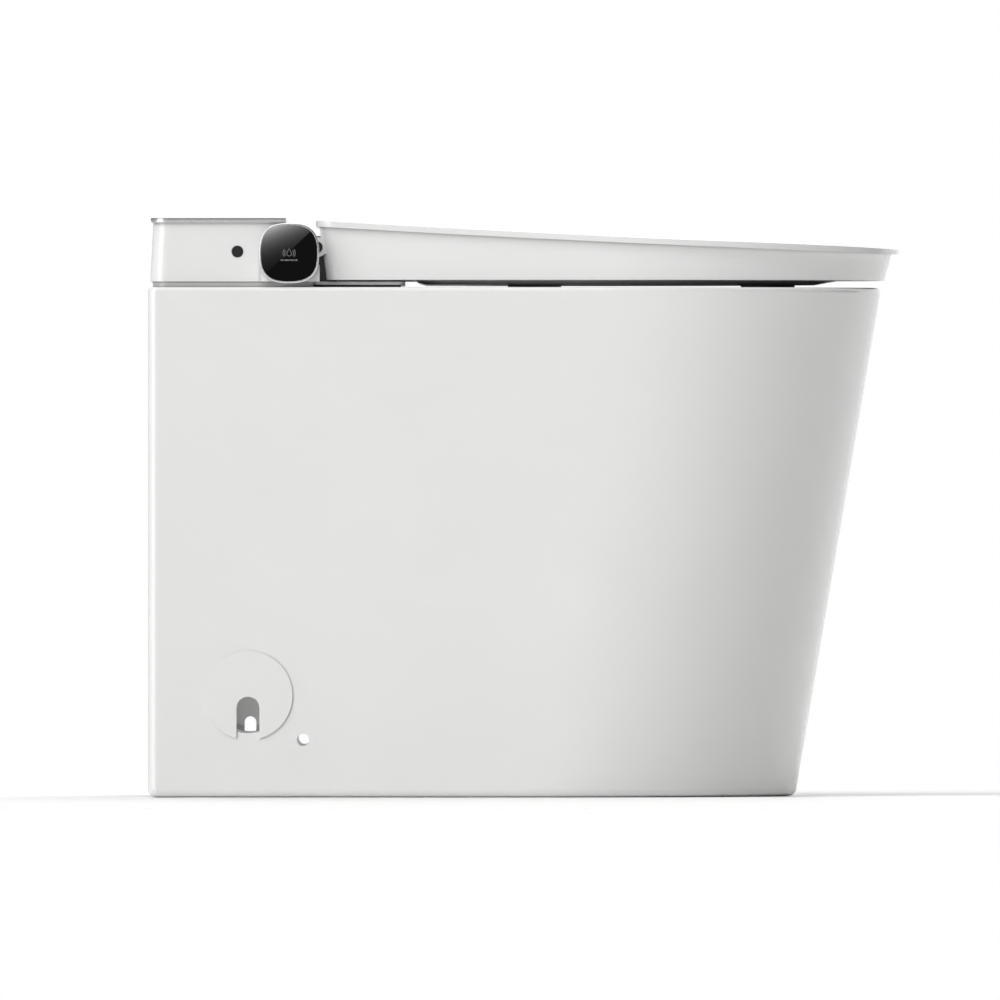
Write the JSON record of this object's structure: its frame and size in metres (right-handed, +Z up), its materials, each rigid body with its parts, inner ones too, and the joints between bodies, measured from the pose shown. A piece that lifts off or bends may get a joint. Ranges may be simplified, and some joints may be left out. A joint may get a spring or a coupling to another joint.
{
  "type": "smart toilet",
  "caption": "Skirted one-piece smart toilet with a heated seat, slow-closing lid, side control knob, wash nozzle, dryer and a hidden pump-driven flush.",
  "frame": {"origin": "on the floor, below the centre of the overall length and width", "axes": "+X to the front of the bowl, +Y to the seated user's left, +Z up"},
  "size_m": [0.678, 0.3988, 0.5211],
  "materials": {
    "cover_plastic": "gloss",
    "body_plastic": "gloss",
    "dark_plastic": "satin",
    "ceramic": "gloss",
    "board": "satin",
    "chrome_trim": "satin",
    "seal_rubber": "matte",
    "inner_plastic": "satin",
    "steel": "satin",
    "hose": "satin",
    "knob_metal": "satin",
    "knob_glass": "gloss",
    "soft_bumper": "matte",
    "lid_plastic": "gloss",
    "gear_plastic": "satin",
    "nozzle_plastic": "gloss",
    "heater_foil": "satin",
    "seat_under": "satin",
    "seat_plastic": "gloss",
    "valve_plastic": "satin",
    "unit_plastic": "satin",
    "brass": "satin"
  },
  "bodies": {
    "root": {"access_cover_left": "cover_plastic", "access_cover_right": "cover_plastic", "base_tray": "body_plastic", "button_switch": "dark_plastic", "cable_gland": "dark_plastic", "ceramic_bowl": "ceramic", "ceramic_deck": "ceramic", "ceramic_rim_left": "ceramic", "ceramic_rim_right": "ceramic", "ceramic_trap": "ceramic", "ceramic_walls": "ceramic", "control_board": "board", "cover_trim": "chrome_trim", "deck_gasket": "seal_rubber", "drain_seal": "seal_rubber", "dryer_housing": "inner_plastic", "flush_pump": "dark_plastic", "flush_tank": "inner_plastic", "hinge_damper_left": "dark_plastic", "hinge_damper_right": "dark_plastic", "hinge_post_left": "dark_plastic", "hinge_post_right": "dark_plastic", "housing_ear_left": "body_plastic", "housing_ear_right": "body_plastic", "jet_pipe": "hose", "knob_encoder": "board", "nozzle_guide": "dark_plastic", "nozzle_motor": "steel", "power_supply": "steel", "rear_housing": "body_plastic", "rear_top_cover": "body_plastic", "solenoid_valve": "valve_plastic", "tray_bolts": "steel", "tray_nuts": "steel", "unit_cover": "unit_plastic", "water_heater": "inner_plastic", "water_inlet": "brass"},
    "seat": {"seat_upper_shell": "seat_plastic", "seat_lower_shell": "seat_under", "seat_heater": "heater_foil", "seat_bumpers": "soft_bumper", "hinge_pin_right": "steel", "hinge_pin_left": "steel"},
    "lid": {"lid_plate": "lid_plastic", "lid_skirt": "lid_plastic", "lid_bumpers": "soft_bumper", "lid_lug_right": "lid_plastic", "lid_lug_left": "lid_plastic"},
    "knob_stem": {"knob_spindle": "steel"},
    "knob": {"knob_body": "knob_metal", "knob_glass": "knob_glass"},
    "flush_button": {"flush_button": "dark_plastic"},
    "nozzle": {"nozzle_wand": "nozzle_plastic", "nozzle_cap": "steel"},
    "nozzle_pinion": {"nozzle_pinion": "gear_plastic"},
    "dryer_fan": {"dryer_fan": "dark_plastic"},
    "pump_impeller": {"pump_impeller": "inner_plastic"}
  },
  "joints": [
    {"name": "seat_hinge", "type": "hinge", "parent": "root", "child": "seat", "pos_m": [-0.187, 0, 0.495], "axis": [0, -1, 0], "range_deg": [0, 95]},
    {"name": "lid_hinge", "type": "hinge", "parent": "seat", "child": "lid", "pos_m": [-0.187, 0, 0.495], "axis": [0, 1, 0], "range_deg": [-98, 0]},
    {"name": "knob_press", "type": "slide", "parent": "root", "child": "knob_stem", "axis": [0, 1, 0], "range_m": [0, 0.0015], "stiffness_N_per_m": 1500},
    {"name": "knob_turn", "type": "hinge", "parent": "knob_stem", "child": "knob", "pos_m": [-0.212, 0, 0.4894], "axis": [0, 1, 0], "range_deg": [-30, 30], "stiffness_Nm_per_rad": 0.08},
    {"name": "flush_button_press", "type": "slide", "parent": "root", "child": "flush_button", "axis": [0, 1, 0], "range_m": [0, 0.002], "stiffness_N_per_m": 900},
    {"name": "nozzle_slide", "type": "slide", "parent": "root", "child": "nozzle", "axis": [0.9659, 0, -0.2588], "range_m": [0, 0.08]},
    {"name": "nozzle_pinion_turn", "type": "hinge", "parent": "root", "child": "nozzle_pinion", "pos_m": [-0.17496, -0.0195, 0.46453], "axis": [0.2588, 0, 0.9659], "range_deg": [-620, 620]},
    {"name": "dryer_fan_spin", "type": "hinge", "parent": "root", "child": "dryer_fan", "pos_m": [-0.281, 0.095, 0.469], "axis": [0, 0, 1], "continuous": true},
    {"name": "pump_spin", "type": "hinge", "parent": "root", "child": "pump_impeller", "pos_m": [-0.254, 0, 0.252], "axis": [0, 0, 1], "continuous": true}
  ],
  "couplings": [
    {"joint": "nozzle_pinion_turn", "follows": "nozzle_slide", "rad_per_m": -133.33}
  ]
}
